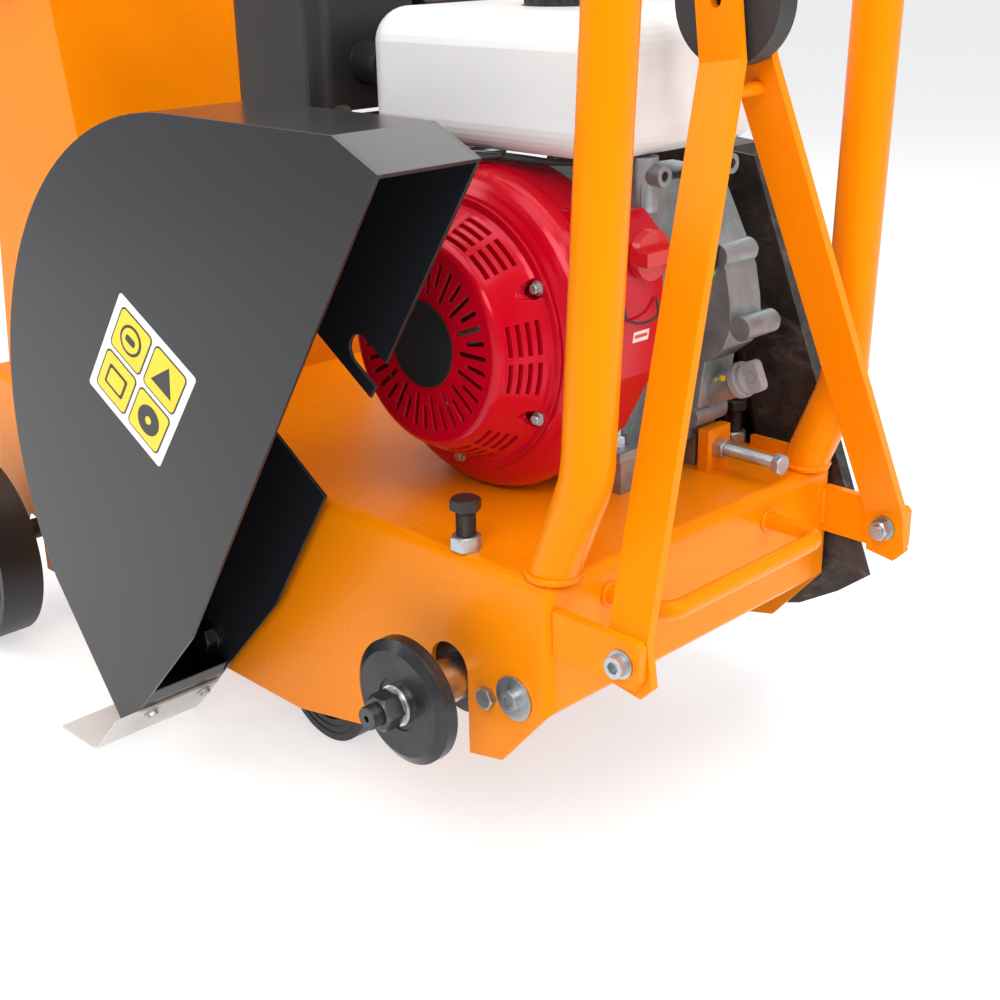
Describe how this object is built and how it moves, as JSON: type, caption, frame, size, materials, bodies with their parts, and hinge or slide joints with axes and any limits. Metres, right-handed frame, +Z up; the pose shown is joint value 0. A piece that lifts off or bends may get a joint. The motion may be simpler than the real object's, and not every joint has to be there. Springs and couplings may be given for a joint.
{
  "type": "walk-behind concrete saw",
  "caption": "Walk-behind concrete saw with a petrol engine, belt-driven blade shaft, hinged blade guard shown folded up, guide pointer and crank depth lift.",
  "frame": {"origin": "on the ground, under the middle of the part's bounding box", "axes": "+X forward, in the cutting direction; +Y to the machine's left; +Z up"},
  "size_m": [1.3934, 0.6424, 1.019],
  "materials": {
    "orange_paint": "glossy powder coat",
    "guard_grey": "satin powder coat",
    "engine_red": "glossy enamel",
    "alloy": "cast, bead-blasted",
    "zinc": "zinc plated",
    "bright_steel": "turned and ground",
    "dark_steel": "blackened, satin",
    "black_steel": "black oxide or black paint",
    "cast_iron": "painted casting",
    "tyre": "solid rubber",
    "rubber": "matt",
    "tank_plastic": "moulded, semi-gloss",
    "black_plastic": "moulded",
    "grey_plastic": "moulded",
    "red_plastic": "moulded",
    "black_wrinkle": "wrinkle coat",
    "clear_flap": "translucent flexible sheet",
    "brass": "machined"
  },
  "bodies": {
    "frame": {"deck_frame": "orange_paint", "tube_frame": "orange_paint", "rear_tower": "orange_paint", "carry_handle": "orange_paint", "pointer_brackets": "orange_paint", "pointer_bolts": "zinc", "engine_rails": "alloy", "engine_foot_bolts": "zinc", "belt_tensioner": "orange_paint", "jack_screws": "black_steel", "side_plate_bolts": "zinc", "crankcase": "alloy", "crankcase_cover": "alloy", "cover_bolts": "zinc", "cylinder": "alloy", "fan_housing": "engine_red", "recoil_cover": "engine_red", "recoil_badge": "black_plastic", "recoil_bolts": "zinc", "fuel_tank": "tank_plastic", "air_cleaner": "black_plastic", "muffler": "dark_steel", "v_belts": "rubber", "shaft_bearings": "cast_iron", "belt_cover": "black_wrinkle", "belt_cover_lid": "black_wrinkle", "guard_pivot_bolt": "black_steel", "front_axle": "zinc", "water_valve": "brass", "water_hose": "rubber"},
    "crankshaft": {"crankshaft": "bright_steel", "drive_pulley": "cast_iron"},
    "arbor": {"arbor_shaft": "bright_steel", "arbor_pulley": "cast_iron", "blade_flanges": "dark_steel", "arbor_nut": "zinc"},
    "guard": {"guard_outer_plate": "guard_grey", "guard_inner_plate": "guard_grey", "guard_rim": "guard_grey", "splash_flap": "clear_flap", "flap_bolts": "zinc"},
    "pointer": {"pointer_arms": "orange_paint"},
    "pointer_wheel": {"pointer_wheel": "rubber"},
    "front_wheel_right": {"front_wheel_right": "tyre"},
    "front_wheel_left": {"front_wheel_left": "tyre"},
    "lift": {"lift_arms": "black_steel", "wheel_caps": "zinc"},
    "rear_wheel_right": {"rear_wheel_right": "tyre"},
    "rear_wheel_left": {"rear_wheel_left": "tyre"},
    "depth_crank": {"depth_crank": "zinc"},
    "crank_knob": {"crank_knob": "black_plastic"},
    "depth_nut": {"depth_nut": "black_steel"},
    "handlebar": {"handlebar": "orange_paint", "hand_grips": "rubber"},
    "starter": {"starter_handle": "black_plastic"},
    "switch": {"engine_switch": "red_plastic"},
    "throttle": {"throttle_lever": "black_steel"},
    "fuel_cap": {"fuel_cap": "black_plastic"},
    "oil_cap": {"oil_cap": "grey_plastic"},
    "valve_lever": {"valve_lever": "red_plastic"}
  },
  "joints": [
    {"name": "crank_spin", "type": "hinge", "parent": "frame", "child": "crankshaft", "pos_m": [0.39132, 0.0148, 0.455], "axis": [0, 1, 0], "continuous": true},
    {"name": "arbor_spin", "type": "hinge", "parent": "frame", "child": "arbor", "pos_m": [0.48332, 0.0148, 0.1824], "axis": [0, 1, 0], "continuous": true},
    {"name": "guard_hinge", "type": "hinge", "parent": "frame", "child": "guard", "pos_m": [0.12332, -0.1967, 0.105], "axis": [0, 1, 0], "range_deg": [0, 42.4]},
    {"name": "pointer_hinge", "type": "hinge", "parent": "frame", "child": "pointer", "pos_m": [0.67402, 0.0148, 0.264], "axis": [0, 1, 0], "range_deg": [0, 120]},
    {"name": "pointer_wheel_spin", "type": "hinge", "parent": "pointer", "child": "pointer_wheel", "pos_m": [0.6122, 0.0148, 0.74], "axis": [0, 1, 0], "continuous": true},
    {"name": "front_wheel_right_spin", "type": "hinge", "parent": "frame", "child": "front_wheel_right", "pos_m": [0.22932, -0.1112, 0.068], "axis": [0, 1, 0], "continuous": true},
    {"name": "front_wheel_left_spin", "type": "hinge", "parent": "frame", "child": "front_wheel_left", "pos_m": [0.22932, 0.1408, 0.068], "axis": [0, 1, 0], "continuous": true},
    {"name": "depth_crank_turn", "type": "hinge", "parent": "frame", "child": "depth_crank", "pos_m": [-0.18868, 0.0148, 0.865], "axis": [0, 0, -1], "range_deg": [0, 3600]},
    {"name": "lift_swing", "type": "hinge", "parent": "frame", "child": "lift", "pos_m": [-0.01868, 0.0148, 0.115], "axis": [0, -1, 0], "range_deg": [0, 45]},
    {"name": "depth_nut_travel", "type": "slide", "parent": "frame", "child": "depth_nut", "axis": [0, 0, -1], "range_m": [0, 0.0923]},
    {"name": "crank_knob_spin", "type": "hinge", "parent": "depth_crank", "child": "crank_knob", "pos_m": [-0.28168, 0.0148, 0.955], "axis": [0, 0, 1], "continuous": true},
    {"name": "rear_wheel_right_spin", "type": "hinge", "parent": "lift", "child": "rear_wheel_right", "pos_m": [-0.27368, -0.2602, 0.112], "axis": [0, 1, 0], "continuous": true},
    {"name": "rear_wheel_left_spin", "type": "hinge", "parent": "lift", "child": "rear_wheel_left", "pos_m": [-0.27368, 0.2898, 0.112], "axis": [0, 1, 0], "continuous": true},
    {"name": "handlebar_tilt", "type": "hinge", "parent": "frame", "child": "handlebar", "pos_m": [-0.19868, 0.0148, 0.775], "axis": [0, 1, 0], "range_deg": [-12, 25]},
    {"name": "starter_pull", "type": "slide", "parent": "frame", "child": "starter", "axis": [-0.6691, 0, 0.7431], "range_m": [0, 0.45], "stiffness_N_per_m": 15},
    {"name": "switch_turn", "type": "hinge", "parent": "frame", "child": "switch", "pos_m": [0.55772, -0.0212, 0.541], "axis": [1, 0, 0], "range_deg": [0, 45]},
    {"name": "throttle_swing", "type": "hinge", "parent": "frame", "child": "throttle", "pos_m": [0.25132, -0.0852, 0.587], "axis": [0, 1, 0], "range_deg": [-25, 20]},
    {"name": "fuel_cap_turn", "type": "hinge", "parent": "frame", "child": "fuel_cap", "pos_m": [0.40132, 0.0528, 0.735], "axis": [0, 0, 1], "range_deg": [0, 90]},
    {"name": "oil_cap_turn", "type": "hinge", "parent": "frame", "child": "oil_cap", "pos_m": [0.54932, 0.1268, 0.397], "axis": [0.9149, 0, 0.4036], "range_deg": [0, 720]},
    {"name": "valve_turn", "type": "hinge", "parent": "frame", "child": "valve_lever", "pos_m": [-0.32468, -0.1052, 0.515], "axis": [0, 0, 1], "range_deg": [0, 90]}
  ],
  "couplings": [
    {"joint": "arbor_spin", "follows": "crank_spin", "ratio": 1.1154},
    {"joint": "lift_swing", "follows": "depth_crank_turn", "ratio": 0.0125},
    {"joint": "depth_nut_travel", "follows": "depth_crank_turn", "m_per_rad": 0.001469}
  ]
}
